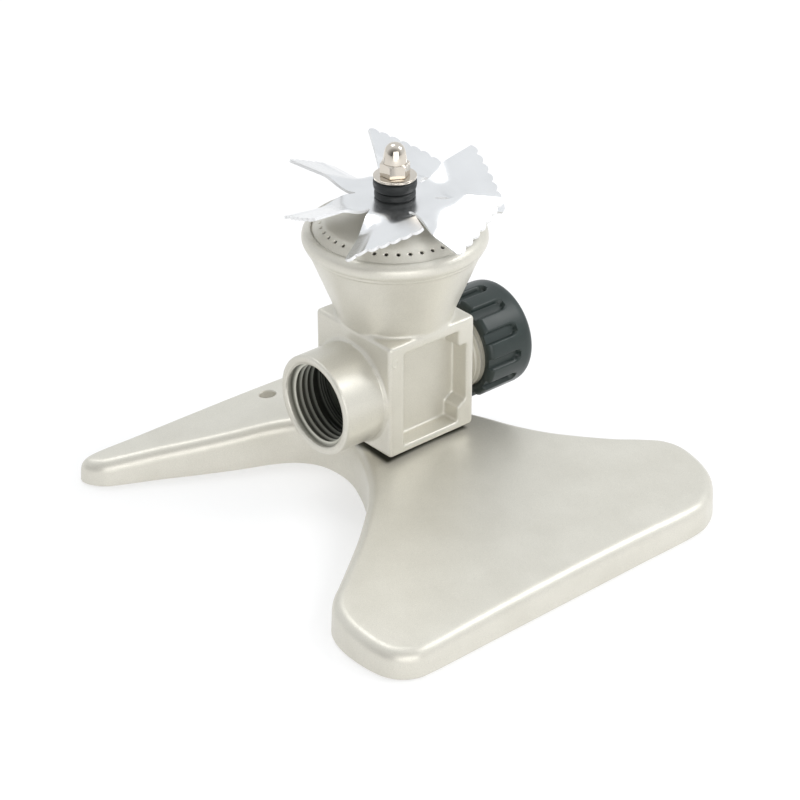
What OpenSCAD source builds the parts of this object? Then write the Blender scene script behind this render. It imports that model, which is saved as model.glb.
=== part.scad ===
// Turbine spray sprinkler on a cast wing base, hose in and capped hose out.
// Millimetres. Z is up along the spindle, the ground is z = 0.
// The hose inlet faces -X, the capped outlet faces +X.

/* [Base] */
// front edge of the wing, distance from the spindle
base_front = 89.8; // [80:0.2:100]
// reach of the wing to the inlet side
wing_left = 76.1; // [60:0.1:85]
// reach of the wing to the outlet side
wing_right = 68.2; // [60:0.1:85]
// half span between the two tail tips
tail_half = 80.6; // [60:0.1:90]
// distance of the tail tips behind the spindle
tail_back = 61; // [50:0.5:70]
// height of the casting under the body
crown_z = 18.2; // [14:0.1:22]
// fall of the tails per millimetre of reach
tail_fall = 0.115; // [0.05:0.005:0.16]
// height of the front edge
front_edge_z = 10; // [6:0.1:14]
// wall thickness of the hollow casting
base_wall = 2.8; // [2:0.1:5]
// thickness of the top skin
base_skin = 3; // [2:0.1:5]
// radius of the peg hole in the tail
peg_hole_r = 2.7; // [1.5:0.1:4]
// peg hole position across
peg_hole_x = -15.5; // [-30:0.5:0]
// peg hole position behind the spindle
peg_hole_y = 46; // [35:0.5:50]
// screw offset to each side of the spindle
screw_x = 9; // [8:0.5:10]

/* [Body] */
// underside of the cube
cube_z0 = 19; // [17:0.1:22]
// top of the cube
cube_z1 = 56.9; // [50:0.1:60]
// cube size along the water path
cube_x = 34.3; // [30:0.1:40]
// cube size across the water path
cube_y = 35.4; // [30:0.1:40]
// radius of the cube's upright edges
cube_edge_r = 1.6; // [0.5:0.1:4]
// depth of the recess in the front and rear faces
pocket_depth = 6.2; // [0.5:0.1:6.4]
// height of the water passage axis
port_z = 35.7; // [30:0.1:40]
// radius of the water passage
passage_r = 9.5; // [6:0.1:11]
// distance of the inlet mouth from the spindle
inlet_reach = 32.6; // [28:0.1:40]
// outside radius of the inlet socket
inlet_r = 16.1; // [15:0.1:18]
// crest radius of the inlet thread
inlet_crest_r = 12.4; // [12:0.05:13]
// root radius of the inlet thread
inlet_root_r = 13.6; // [13:0.05:14]
// hose thread pitch
hose_pitch = 2.209; // [1:0.001:3]
// end of the outlet neck
neck_end = 39.2; // [34:0.1:44]
// crest radius of the outlet thread
neck_crest_r = 13.45; // [13:0.05:14]
// root radius of the outlet thread
neck_root_r = 12.3; // [11.5:0.05:13]

/* [Funnel] */
// funnel radius at the cube
funnel_foot_r = 17.2; // [15:0.1:17.6]
// funnel radius under the rim
funnel_head_r = 26.8; // [24:0.1:28]
// height of the rim's underside
rim_z0 = 81; // [75:0.1:85]
// top of the rim
rim_z1 = 86.4; // [84:0.1:90]
// largest radius of the rim bead
rim_r = 28.4; // [26:0.1:30]
// radius of the seat for the spray plate
seat_r = 25.45; // [24:0.05:27]

/* [Spray head] */
// outside radius of the spray plate
plate_r = 25.4; // [24:0.05:27]
// height of the spray plate's edge
plate_edge_z = 85.8; // [84:0.1:88]
// height of the spray plate's flat top
plate_top_z = 92.3; // [90:0.1:94]
// thickness of the spray plate
plate_t = 1.2; // [0.8:0.1:2]
// number of spray holes
jet_count = 40; // [24:1:48]
// radius of one spray hole
jet_r = 0.6; // [0.3:0.05:0.8]
// radius of the circle of spray holes
jet_circle_r = 22.6; // [20:0.1:24]
// turning of the circle of spray holes
jet_phase = -2.1; // [-5:0.1:5]
// spindle radius
spindle_r = 2.5; // [2:0.05:3]

/* [Turbine] */
// number of blades
blade_count = 6; // [4:1:8]
// radius of the flat disc inside the slits
disc_r = 12.2; // [8:0.1:16]
// reach of a blade from the spindle
blade_r = 32; // [26:0.5:36]
// half width of a blade at its outer edge
blade_half_w = 11.9; // [8:0.1:14]
// sheet thickness
blade_t = 0.8; // [0.5:0.1:1.2]
// heading of the first blade at rest
blade_phase = -136.2; // [-180:0.1:180]
// underside of the turbine's centre disc
turbine_z = 95.4; // [94:0.1:97]
// scallops along a blade's outer edge
scallop_count = 7; // [3:1:9]

/* [Cap] */
// radius of the cap
cap_r = 17.3; // [15:0.1:20]
// near edge of the cap
cap_x0 = 25.2; // [24:0.1:30]
// closed end of the cap
cap_x1 = 44; // [40:0.1:48]
// number of grip flutes
flute_count = 12; // [8:1:20]
// radius of one flute
flute_r = 2; // [1:0.1:3]

/* [Hidden] */
$fn = 96;
eps = 0.01;
// pitch of each blade, bent by hand, and the droop of its outer edge
blade_pitches = [24.7, 21.8, 28.8, 24.7, 24.7, 20.8];
blade_droops = [1.8, 3.5, -0.6, -6, -6, 2.6];
paint = [0.76, 0.74, 0.70];
metal = [0.86, 0.85, 0.83];
black = [0.10, 0.11, 0.11];
brass = [0.78, 0.62, 0.32];

// one side of the wing, from the front edge round the lobe to the waist
function wing_side(side) =
    let (f = base_front, l = wing_left, r = wing_right)
    side < 0
    ? [[38, -f], [l - 14, -f], [l - 7.7, -f + 1], [l - 3.4, -f + 4.2], [l - 1, -f + 9],
       [l, -f + 17], [l - 0.5, -f + 25], [l - 2.8, -f + 31.8], [l - 6.8, -f + 36.6],
       [63.9, -f + 40.4], [54.9, -f + 46.8], [45.6, -f + 53.7], [36, -f + 61.8],
       [28.8, -f + 69], [24.2, -14.4], [19.8, -6], [17, 1.5], [16.2, 9], [17.4, 16.6]]
    : [[20, -f], [44, -f], [r - 15.4, -f + 2.4], [r - 9, -f + 6.9], [r - 3.8, -f + 12.9],
       [r - 1, -f + 20], [r, -f + 28.5], [r - 2.6, -f + 35.2], [60, -f + 40.2],
       [53, -f + 45.2], [45.5, -f + 52], [38.2, -f + 59.6], [32.3, -f + 68],
       [27.5, -12.4], [22.5, -3.5], [18.8, 5], [17.6, 13], [18.2, 18]];
// one tail, from the waist round the tip to the middle of the back edge
function tail_side() =
    let (t = tail_half, b = tail_back)
    [[21.5, 22.6], [28, 27.1], [38.4, 31.7], [50, 37.4], [61.3, 43.4], [70, 47.6],
     [t - 3.6, b - 9.6], [t, b - 4.2], [t - 1, b - 0.4], [t - 7, b + 1], [58, 59.8],
     [43, 58], [28, 56.4], [12, 55]];
function half_plan(side) = concat(wing_side(side), tail_side());
function mirror_plan(p) = [for (i = [len(p) - 1:-1:0]) [-p[i][0], p[i][1]]];
plan = concat([[0, -base_front]], half_plan(1), [[0, 54.3]], mirror_plan(half_plan(-1)));
function spline(p0, p1, p2, p3, t) =
    0.5 * (2 * p1 + (p2 - p0) * t + (2 * p0 - 5 * p1 + 4 * p2 - p3) * t * t
    + (3 * p1 - p0 - 3 * p2 + p3) * t * t * t);
smooth_steps = 4;
smooth_plan = [for (i = [0:len(plan) - 1]) for (k = [0:smooth_steps - 1])
    let (n = len(plan))
    spline(plan[(i + n - 1) % n], plan[i], plan[(i + 1) % n], plan[(i + 2) % n],
        k / smooth_steps)];

module base_plan(inset = 0) {
    if (inset == 0) polygon(smooth_plan);
    else offset(delta = -inset) polygon(smooth_plan);
}

// solid below the crowned top surface, lowered by drop
module crown(drop = 0) {
    reach = 125;
    rotate_extrude()
        polygon([[0, -1], [reach, -1], [reach, crown_z - tail_fall * reach - drop],
            [10, crown_z - tail_fall * 10 - drop], [0, crown_z - 0.7 - drop]]);
    rotate([90, 0, 90])
        translate([0, 0, -90])
        linear_extrude(180)
        polygon([[-base_front - 5, -1], [14, -1], [14, crown_z - 2.4 - drop],
            [2, crown_z - 1 - drop], [-12, crown_z - 1.2 - drop],
            [-base_front - 5, front_edge_z - 0.3 - drop]]);
}

module under_crown(height, drop = 0) {
    intersection() {
        linear_extrude(height) children();
        crown(drop);
    }
}

module rib_bar(x0, y0, x1, y1) {
    rib = 2;
    translate([x0, y0]) rotate(atan2(y1 - y0, x1 - x0))
        translate([0, -rib / 2]) square([norm([x1 - x0, y1 - y0]), rib]);
}

module rib_lines() {
    rib_bar(0, 53, 0, -base_front + 1);
    rib_bar(-62, -52, 52, -52);
    for (s = [-1, 1]) {
        rib_bar(s * 11, 23, s * 66, 52.5);
        rib_bar(s * 12, -11, s * 61.9, -59.7);
    }
}

module base_casting() {
    pad_r = 15.5;
    post_r = 6.2;
    color(paint) difference() {
        union() {
            difference() {
                under_crown(30) base_plan();
                translate([0, 0, -eps]) under_crown(30, base_skin) base_plan(base_wall);
            }
            translate([0, 0, 2]) intersection() {
                linear_extrude(30) intersection() {
                    rib_lines();
                    base_plan(1);
                }
                crown(3.5);
            }
            cylinder(r = 4, h = crown_z - 1.5);
            for (s = [-1, 1]) translate([s * screw_x, 0, 0]) cylinder(r = post_r, h = crown_z - 2);
            translate([0, 0, crown_z - 4]) cylinder(r = pad_r, h = cube_z0 - crown_z + 4);
        }
        for (s = [-1, 1]) translate([s * screw_x, 0, 0]) {
            translate([0, 0, -1]) cylinder(r = 2.75, h = 30);
            translate([0, 0, -1]) cylinder(r = 4.9, h = 9);
        }
        translate([peg_hole_x, peg_hole_y, -1]) cylinder(r = peg_hole_r, h = 30);
    }
}

// pan head screw from below, head underneath, shank up into the body
module base_screw(side) {
    color(metal) translate([side * screw_x, 0, 0]) difference() {
        union() {
            translate([0, 0, 3.6]) cylinder(r = 4.4, h = 3.2);
            translate([0, 0, 6]) cylinder(r = 2.42, h = 18.6);
        }
        translate([0, 0, 3]) cylinder(r = 2.3, h = 2.4, $fn = 6);
    }
}

module base_screw_left() { base_screw(-1); }
module base_screw_right() { base_screw(1); }

module lock_washer(side) {
    color(metal) translate([side * screw_x, 0, 6.8]) difference() {
        cylinder(r = 4.6, h = 1.2);
        translate([0, 0, -1]) cylinder(r = 2.6, h = 4);
    }
}

module lock_washer_left() { lock_washer(-1); }
module lock_washer_right() { lock_washer(1); }

module along_x(x) { translate([x, 0, port_z]) rotate([0, 90, 0]) children(); }

module rounded_block(sx, sy, h, r) {
    linear_extrude(h) {
        translate([-sx / 2 + r, -sy / 2]) square([sx - 2 * r, sy]);
        translate([-sx / 2, -sy / 2 + r]) square([sx, sy - 2 * r]);
        for (i = [-1, 1]) for (j = [-1, 1])
            translate([i * (sx / 2 - r), j * (sy / 2 - r)]) circle(r, $fn = 48);
    }
}

// recess in a side face: a tall rectangle that widens between the corner blocks
module pocket_outline() {
    low = cube_z0 + 2.8;
    high = cube_z1 - 3.5;
    translate([-11.5, low]) square([22.1, high - low]);
    translate([0, low + 6.9]) square([13.9, high - low - 12.2]);
    polygon([[10.6, low + 4], [13.9, low + 7], [10.6, low + 7]]);
}

// thread as rings: crest bands between grooves, the way a cut thread reads in section
module inner_grooves(x0, count) {
    for (i = [0:count - 1])
        along_x(x0 + i * hose_pitch) rotate_extrude()
            polygon([[inlet_crest_r - 1, 0], [inlet_crest_r, 0],
                [inlet_root_r, hose_pitch * 0.28], [inlet_root_r, hose_pitch * 0.44],
                [inlet_crest_r, hose_pitch * 0.72], [inlet_crest_r - 1, hose_pitch * 0.72]]);
}

module neck_ridge(x) {
    along_x(x) rotate_extrude()
        polygon([[neck_root_r - 1, 0], [neck_root_r, 0], [neck_crest_r, hose_pitch * 0.28],
            [neck_crest_r, hose_pitch * 0.44], [neck_root_r, hose_pitch * 0.72],
            [neck_root_r - 1, hose_pitch * 0.72]]);
}

module body_casting() {
    h = cube_z1 - cube_z0;
    ring = inlet_r + 1.1;
    color(paint) difference() {
        union() {
            translate([0, 0, cube_z0]) rounded_block(cube_x, cube_y, h, cube_edge_r);
            // inlet socket with a raised ring at its root
            along_x(-inlet_reach) cylinder(r = inlet_r, h = inlet_reach);
            along_x(-cube_x / 2 - 1) cylinder(r1 = inlet_r, r2 = ring, h = 1.2);
            // funnel with a rolled rim
            rotate_extrude() polygon(concat(
                [[0, cube_z1 - 2], [funnel_foot_r - 0.6, cube_z1 - 2],
                 [funnel_foot_r - 0.4, cube_z1 + 0.6], [funnel_foot_r + 0.4, cube_z1 + 2]],
                [[funnel_head_r, rim_z0], [rim_r - 0.5, rim_z0 + 0.9], [rim_r, rim_z0 + 2.3],
                 [rim_r - 0.25, rim_z0 + 3.6], [rim_r - 1, rim_z0 + 4.8], [rim_r - 1.8, rim_z1],
                 [0, rim_z1]]));
            // outlet neck with thread rings
            along_x(0) cylinder(r = neck_root_r, h = neck_end);
            along_x(cube_x / 2 - 0.5) cylinder(r = neck_crest_r, h = 2.2);
            for (i = [0:7]) neck_ridge(20.8 + i * hose_pitch);
        }
        for (s = [-1, 1]) translate([0, s * (cube_y / 2 - pocket_depth), 0])
            rotate([90, 0, 0]) translate([0, 0, s > 0 ? -8 : 0])
            linear_extrude(8) pocket_outline();
        // water passages
        along_x(-20) cylinder(r = passage_r, h = 80);
        along_x(-inlet_reach - 1) cylinder(r = inlet_crest_r, h = 16.6);
        along_x(-17.2) cylinder(r = inlet_root_r, h = 3);
        along_x(-inlet_reach - eps) cylinder(r1 = 14.1, r2 = inlet_crest_r, h = 1.6);
        inner_grooves(-inlet_reach + 1.2, 6);
        translate([0, 0, port_z]) cylinder(r = passage_r, h = 22);
        translate([0, 0, cube_z1 + 0.7])
            cylinder(r1 = 14.2, r2 = 23.9, h = rim_z0 - 1.5 - cube_z1 - 0.7);
        translate([0, 0, rim_z0 - 1.51]) cylinder(r = 23.9, h = 2.02);
        translate([0, 0, rim_z0 + 0.5]) cylinder(r = seat_r, h = 10);
        // screw holes in the floor
        for (s = [-1, 1]) translate([s * screw_x, 0, cube_z0 - 1]) cylinder(r = 2.5, h = 7);
    }
}

module inlet_washer() {
    color(black) along_x(-16.9) difference() {
        cylinder(r = inlet_root_r - 0.05, h = 2.7);
        translate([0, 0, -1]) cylinder(r = passage_r - 0.3, h = 6);
    }
}

// convex shell with a downward skirt, one ring of jets
module spray_plate() {
    slope = atan2(2, 2.9);
    color(paint) difference() {
        rotate_extrude() polygon([[2.6, plate_top_z], [8, plate_top_z], [14, plate_top_z - 1.6],
            [jet_circle_r - 2.2, plate_edge_z + 3.45], [plate_r, plate_edge_z],
            [plate_r, rim_z0 + 1.6], [plate_r - plate_t, rim_z0 + 1.6],
            [plate_r - plate_t, plate_edge_z - 0.6],
            [jet_circle_r - 2.7, plate_edge_z + 3.45 - plate_t],
            [13.6, plate_top_z - 1.6 - plate_t], [8, plate_top_z - plate_t],
            [2.6, plate_top_z - plate_t]]);
        for (i = [0:jet_count - 1])
            rotate([0, 0, jet_phase + i * 360 / jet_count])
            translate([jet_circle_r, 0, plate_edge_z + 1.93])
            rotate([0, slope, 0]) translate([0, 0, -2]) cylinder(r = jet_r, h = 4, $fn = 24);
    }
}

module plate_seal() {
    color(black) translate([0, 0, rim_z0 + 0.5]) difference() {
        cylinder(r = seat_r - 0.05, h = 1.1);
        translate([0, 0, -1]) cylinder(r = 24, h = 4);
    }
}

module spindle() {
    color(metal) {
        translate([0, 0, 84]) cylinder(r = spindle_r, h = 27);
    }
}

module spindle_locknut() {
    color(metal) translate([0, 0, 85.6]) difference() {
        cylinder(r = 4.6, h = 4.3, $fn = 6);
        translate([0, 0, -1]) cylinder(r = spindle_r + 0.03, h = 8);
    }
}

module spindle_seal() {
    color(black) translate([0, 0, 89.9]) difference() {
        cylinder(r = 6, h = plate_top_z - plate_t - 89.9);
        translate([0, 0, -1]) cylinder(r = spindle_r + 0.03, h = 4);
    }
}

module thrust_washer() {
    color(metal) translate([0, 0, plate_top_z]) difference() {
        cylinder(r = 5, h = 0.8);
        translate([0, 0, -1]) cylinder(r = spindle_r + 0.03, h = 4);
    }
}

module hub_ring(z, r, h, groove = 0) {
    color(black) translate([0, 0, z]) rotate_extrude()
        polygon([[3.45, 0], [r - groove, 0], [r, groove], [r, h - groove], [r - groove, h],
            [3.45, h]]);
}

module hub_spacer() { hub_ring(93.6, 4.6, turbine_z - 93.6, 0.2); }
module hub_grommet_lower() { hub_ring(turbine_z + blade_t, 6.3, 2.4, 0.35); }
module hub_grommet_upper() { hub_ring(turbine_z + blade_t + 2.4, 6.7, 3.45, 0.45); }

module bearing_sleeve() {
    color(brass) translate([0, 0, 93.5]) difference() {
        cylinder(r = 3.4, h = 8.5);
        translate([0, 0, -1]) cylinder(r = spindle_r + 0.06, h = 12);
    }
}

// one flat blade with a scalloped outer edge, root at the disc
module blade_plan() {
    lobe = blade_half_w / scallop_count;
    polygon([[disc_r - 2.4, -4.6], [disc_r - 2.4, 4.6], [blade_r - 3.2, blade_half_w],
        [blade_r - 1.6, blade_half_w - 0.8], [blade_r - 1.2, 0],
        [blade_r - 1.6, -blade_half_w + 0.8], [blade_r - 3.2, -blade_half_w]]);
    for (i = [0:scallop_count - 1])
        translate([blade_r - lobe - 0.25 * abs(i - (scallop_count - 1) / 2),
            (2 * i + 1 - scallop_count) * lobe])
        circle(lobe, $fn = 32);
}

module turbine_plate() {
    color([0.93, 0.94, 0.95]) difference() {
        union() {
            translate([0, 0, turbine_z]) cylinder(r = disc_r, h = blade_t);
            for (i = [0:blade_count - 1])
                rotate([0, 0, blade_phase + i * 360 / blade_count])
                translate([0, 0, turbine_z + blade_t / 2])
                rotate([blade_pitches[i % 6], 0, 0]) rotate([0, blade_droops[i % 6], 0])
                translate([0, 0, -blade_t / 2]) linear_extrude(blade_t) blade_plan();
        }
        translate([0, 0, 80]) cylinder(r = 3.45, h = 30);
        translate([0, 0, turbine_z + blade_t]) cylinder(r = 6.9, h = 6);
        translate([0, 0, turbine_z - 6]) cylinder(r = 5, h = 6);
    }
}

module top_washer() {
    color(metal) translate([0, 0, 102.4]) difference() {
        cylinder(r = 6.6, h = 0.8);
        translate([0, 0, -1]) cylinder(r = spindle_r + 0.05, h = 4);
    }
}

module acorn_nut() {
    z = 103.2;
    color(metal) difference() {
        union() {
            translate([0, 0, z]) intersection() {
                cylinder(r = 4.6, h = 4.2, $fn = 6);
                cylinder(r1 = 7.5, r2 = 4.1, h = 4.4);
            }
            translate([0, 0, z]) rotate_extrude()
                polygon([[0, 0], [3.6, 0], [3.6, 5.2], [3.1, 7.4], [3.0, 8.2], [2.6, 9.2],
                    [1.8, 9.9], [0.8, 10.2], [0, 10.25]]);
        }
        translate([0, 0, z - 1]) cylinder(r = spindle_r + 0.03, h = 9);
    }
}

module end_cap() {
    inner = neck_crest_r + 0.07;
    color(black) difference() {
        translate([0, 0, port_z]) rotate([0, 90, 0]) rotate_extrude()
            polygon([[inner, cap_x0], [cap_r - 1.5, cap_x0], [cap_r, cap_x0 + 1.2],
                [cap_r, cap_x1 - 3], [cap_r - 0.3, cap_x1 - 1.7], [cap_r - 1.1, cap_x1 - 0.6],
                [cap_r - 2.3, cap_x1], [0, cap_x1], [0, 41.5], [inner, 41.5]]);
        for (i = [0:flute_count - 1])
            translate([0, 0, port_z]) rotate([i * 360 / flute_count, 0, 0])
            translate([0, 0, cap_r + 0.6]) {
                rotate([0, 90, 0]) translate([0, 0, cap_x0 - 1]) cylinder(r = flute_r, h = 10, $fn = 32);
                translate([cap_x0 + 9, 0, 0]) sphere(r = flute_r, $fn = 32);
            }
    }
}

module cap_gasket() {
    color([0.30, 0.30, 0.30]) along_x(39.5) difference() {
        cylinder(r = neck_crest_r, h = 2);
        translate([0, 0, -1]) cylinder(r = 6, h = 4);
    }
}

base_casting();
base_screw_left();
base_screw_right();
lock_washer_left();
lock_washer_right();
body_casting();
inlet_washer();
spray_plate();
plate_seal();
spindle();
spindle_locknut();
spindle_seal();
thrust_washer();
hub_spacer();
turbine_plate();
hub_grommet_lower();
hub_grommet_upper();
bearing_sleeve();
top_washer();
acorn_nut();
end_cap();
cap_gasket();
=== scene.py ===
"""Turbine spray sprinkler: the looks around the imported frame. Shapes are drawn in millimetres."""
import math

import bmesh
import bpy
import numpy as np
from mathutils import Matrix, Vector, geometry


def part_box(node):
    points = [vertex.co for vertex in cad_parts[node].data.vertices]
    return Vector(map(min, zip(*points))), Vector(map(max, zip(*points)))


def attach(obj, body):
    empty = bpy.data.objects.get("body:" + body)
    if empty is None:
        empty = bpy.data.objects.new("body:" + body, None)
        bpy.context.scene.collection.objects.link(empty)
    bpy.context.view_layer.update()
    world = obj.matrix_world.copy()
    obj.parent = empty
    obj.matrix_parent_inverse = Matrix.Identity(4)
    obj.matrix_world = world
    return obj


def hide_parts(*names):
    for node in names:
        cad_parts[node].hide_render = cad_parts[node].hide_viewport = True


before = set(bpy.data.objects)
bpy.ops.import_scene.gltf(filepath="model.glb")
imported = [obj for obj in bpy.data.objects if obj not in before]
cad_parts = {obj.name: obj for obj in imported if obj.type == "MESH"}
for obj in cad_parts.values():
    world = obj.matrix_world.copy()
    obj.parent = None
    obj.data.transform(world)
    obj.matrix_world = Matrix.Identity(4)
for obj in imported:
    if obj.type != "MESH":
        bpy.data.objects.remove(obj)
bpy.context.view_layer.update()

MM = 0.001
TAU = 2 * math.pi

# ---------------------------------------------------------------- places from the frame


def node_box(name):
    """Lowest and highest corner of a CAD node in millimetres."""
    low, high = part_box(name)
    return np.array(low) / MM, np.array(high) / MM


BODY_LOW, BODY_HIGH = node_box("body_casting")
BASE_LOW, BASE_HIGH = node_box("base_casting")
CAP_LOW, CAP_HIGH = node_box("end_cap")
NUT_LOW, NUT_HIGH = node_box("acorn_nut")
WASHER_LOW, WASHER_HIGH = node_box("top_washer")
PLATE_LOW, PLATE_HIGH = node_box("spray_plate")

PORT_Z = (CAP_LOW[2] + CAP_HIGH[2]) / 2      # height of the water passage
CUBE = (17.15, 17.7)                         # half widths of the cube
CUBE_Z = (BODY_LOW[2], 56.9)                 # cube from underside to top
RIM_TOP = BODY_HIGH[2]
RIM_R = BODY_HIGH[1]
INLET_X = BODY_LOW[0]                        # mouth of the hose socket
NECK_X = BODY_HIGH[0]                        # end of the outlet neck
INLET_R = 16.1                               # outside of the hose socket
ROOT_R, CREST_R = 13.65, 12.4                # inlet thread
NECK_ROOT_R, NECK_CREST_R = 12.3, 13.43      # outlet thread
PITCH = 2.209                                # both threads
PASSAGE_R = 9.5                              # water passage between the two threads
SEAT_R = 25.45                               # seat of the spray plate in the rim
SCREW_X = 9                                  # base screws, each side of the middle

# ---------------------------------------------------------------- mesh helpers


def make(name, verts, faces, body, material, node=None, slot=None, sharp=40):
    """A mesh object from millimetre points, riding on a body and standing for a CAD node."""
    mesh = bpy.data.meshes.new(name)
    points = [tuple(float(c) * MM for c in v) for v in verts]
    mesh.from_pydata(points, [], [tuple(int(i) for i in f) for f in faces])
    mesh.validate()
    bm = bmesh.new()
    bm.from_mesh(mesh)
    bmesh.ops.remove_doubles(bm, verts=bm.verts, dist=1e-6)
    loose = [v for v in bm.verts if not v.link_faces]
    bmesh.ops.delete(bm, geom=loose, context="VERTS")
    bmesh.ops.recalc_face_normals(bm, faces=bm.faces)
    for face in bm.faces:
        face.smooth = True
    for edge in bm.edges:
        edge.smooth = len(edge.link_faces) == 2 and edge.calc_face_angle(0) < math.radians(sharp)
    bm.to_mesh(mesh)
    bm.free()
    obj = bpy.data.objects.new(name, mesh)
    bpy.context.scene.collection.objects.link(obj)
    mesh.materials.append(material)
    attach(obj, body)
    if node:
        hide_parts(*([node] if isinstance(node, str) else node))
    return obj


def join_meshes(parts):
    """One (verts, faces) pair from several."""
    verts, faces = [], []
    for part_verts, part_faces in parts:
        start = len(verts)
        verts += [tuple(v) for v in part_verts]
        faces += [tuple(start + i for i in f) for f in part_faces]
    return verts, faces


def rounded(points, radius, steps=4, closed=True):
    """The corners of a 2D outline replaced by arcs. radius is one number, or one for each point."""
    out = []
    count = len(points)
    radii = [radius] * count if np.isscalar(radius) else radius
    for i, point in enumerate(points):
        p = np.array(point, float)
        if radii[i] <= 0 or (not closed and i in (0, count - 1)):
            out.append(tuple(p))
            continue
        a = np.array(points[i - 1], float) - p
        b = np.array(points[(i + 1) % count], float) - p
        la, lb = np.linalg.norm(a), np.linalg.norm(b)
        a, b = a / la, b / lb
        angle = math.acos(float(np.clip(a @ b, -1, 1)))
        if angle > math.pi - 0.05:
            out.append(tuple(p))
            continue
        cut = min(radii[i] / math.tan(angle / 2), la * 0.48, lb * 0.48)
        start, end = p + a * cut, p + b * cut
        for k in range(steps + 1):
            t = k / steps
            out.append(tuple((1 - t) ** 2 * start + 2 * t * (1 - t) * p + t * t * end))
    return out


def spline_point(p0, p1, p2, p3, t):
    """A point between p1 and p2 on the smooth line through four points."""
    return 0.5 * (2 * p1 + (p2 - p0) * t + (2 * p0 - 5 * p1 + 4 * p2 - p3) * t * t
                  + (3 * p1 - p0 - 3 * p2 + p3) * t ** 3)


def curve_through(points, steps=6):
    """A smooth open line through 2D points."""
    p = [np.array(q, float) for q in points]
    p = [2 * p[0] - p[1]] + p + [2 * p[-1] - p[-2]]
    out = []
    for i in range(1, len(p) - 2):
        out += [tuple(spline_point(*p[i - 1:i + 3], k / steps)) for k in range(steps)]
    return out + [tuple(p[-2])]


def lathe(profile, segments=128, axis="z", centre=(0, 0, 0), closed=True):
    """A closed outline of (radius, height) turned round an axis; points on the axis become poles."""
    verts, faces = [], []
    rows = []
    for radius, height in profile:
        if radius < 1e-6:
            rows.append([len(verts)] * segments)
            verts.append((0.0, 0.0, height))
            continue
        rows.append(list(range(len(verts), len(verts) + segments)))
        for k in range(segments):
            angle = TAU * k / segments
            verts.append((radius * math.cos(angle), radius * math.sin(angle), height))
    pairs = len(rows) if closed else len(rows) - 1
    for i in range(pairs):
        low, high = rows[i], rows[(i + 1) % len(rows)]
        for k in range(segments):
            m = (k + 1) % segments
            corners = [low[k], low[m], high[m], high[k]]
            corners = [c for n, c in enumerate(corners) if c not in corners[:n]]
            if len(corners) > 2:
                faces.append(corners)
    if axis == "x":
        verts = [(z, x, y) for x, y, z in verts]
    return [tuple(np.array(v) + np.array(centre)) for v in verts], faces


def helix_ridge(inner, outer, x0, turns, crest_out, segments=72):
    """A thread ridge round the X axis. The crest is at outer if crest_out, or else at inner."""
    base_w, crest_w = PITCH * 0.3, PITCH * 0.05
    base_r, crest_r = (inner, outer) if crest_out else (outer, inner)
    verts, faces = [], []
    rings = int(turns * segments) + 1
    for n in range(rings):
        turn = n / segments
        angle = TAU * turn
        x = x0 + PITCH * turn
        grow = min(1, turn / 0.35, (turns - turn) / 0.35)
        top_r = base_r + (crest_r - base_r) * max(grow, 0.02)
        soft_r = base_r + (top_r - base_r) * 0.86
        section = [(-base_w, base_r), (-crest_w * 1.7, soft_r), (-crest_w, top_r), (crest_w, top_r),
                   (crest_w * 1.7, soft_r), (base_w, base_r)]
        for dx, r in section:
            verts.append((x + dx, r * math.cos(angle), PORT_Z + r * math.sin(angle)))
    size = 6
    for n in range(rings - 1):
        for k in range(size):
            m = (k + 1) % size
            faces.append((n * size + k, n * size + m, (n + 1) * size + m, (n + 1) * size + k))
    faces.append(tuple(range(size)))
    faces.append(tuple((rings - 1) * size + k for k in range(size)))
    return verts, faces


# ---------------------------------------------------------------- distance fields for the body casting


def smooth_min(a, b, k):
    """The smaller of two distances, with their corner rounded over a width k."""
    h = np.clip(0.5 + 0.5 * (b - a) / k, 0, 1)
    return b + (a - b) * h - k * h * (1 - h)


def smooth_max(a, b, k):
    return -smooth_min(-a, -b, k)


def polygon_distance(points, u, v):
    """Signed distance from (u, v) to a closed outline, negative inside."""
    best = np.full(u.shape, 1e9, np.float32)
    inside = np.zeros(u.shape, bool)
    for i, (x1, y1) in enumerate(points):
        x0, y0 = points[i - 1]
        ex, ey = x1 - x0, y1 - y0
        t = np.clip(((u - x0) * ex + (v - y0) * ey) / (ex * ex + ey * ey), 0, 1)
        best = np.minimum(best, (u - x0 - t * ex) ** 2 + (v - y0 - t * ey) ** 2)
        if y0 != y1:
            crosses = ((y0 > v) != (y1 > v)) & (u < ex * (v - y0) / ey + x0)
            inside ^= crosses
    return np.where(inside, -1, 1) * np.sqrt(best)


def bar_distance(across, along, radius, start, end, soft):
    """Distance to a round bar: across is the distance from its axis."""
    dr = across - radius + soft
    dx = np.abs(along - (start + end) / 2) - (end - start) / 2 + soft
    return np.minimum(np.maximum(dr, dx), 0) + np.hypot(np.maximum(dr, 0), np.maximum(dx, 0)) - soft


def box_distance(u, v, w, half, soft):
    """Distance to a box of the given half sizes with edges rounded by soft."""
    du, dv, dw = np.abs(u) - half[0] + soft, np.abs(v) - half[1] + soft, np.abs(w) - half[2] + soft
    outside = np.sqrt(np.maximum(du, 0) ** 2 + np.maximum(dv, 0) ** 2 + np.maximum(dw, 0) ** 2)
    return outside + np.minimum(np.maximum(np.maximum(du, dv), dw), 0) - soft


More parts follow.
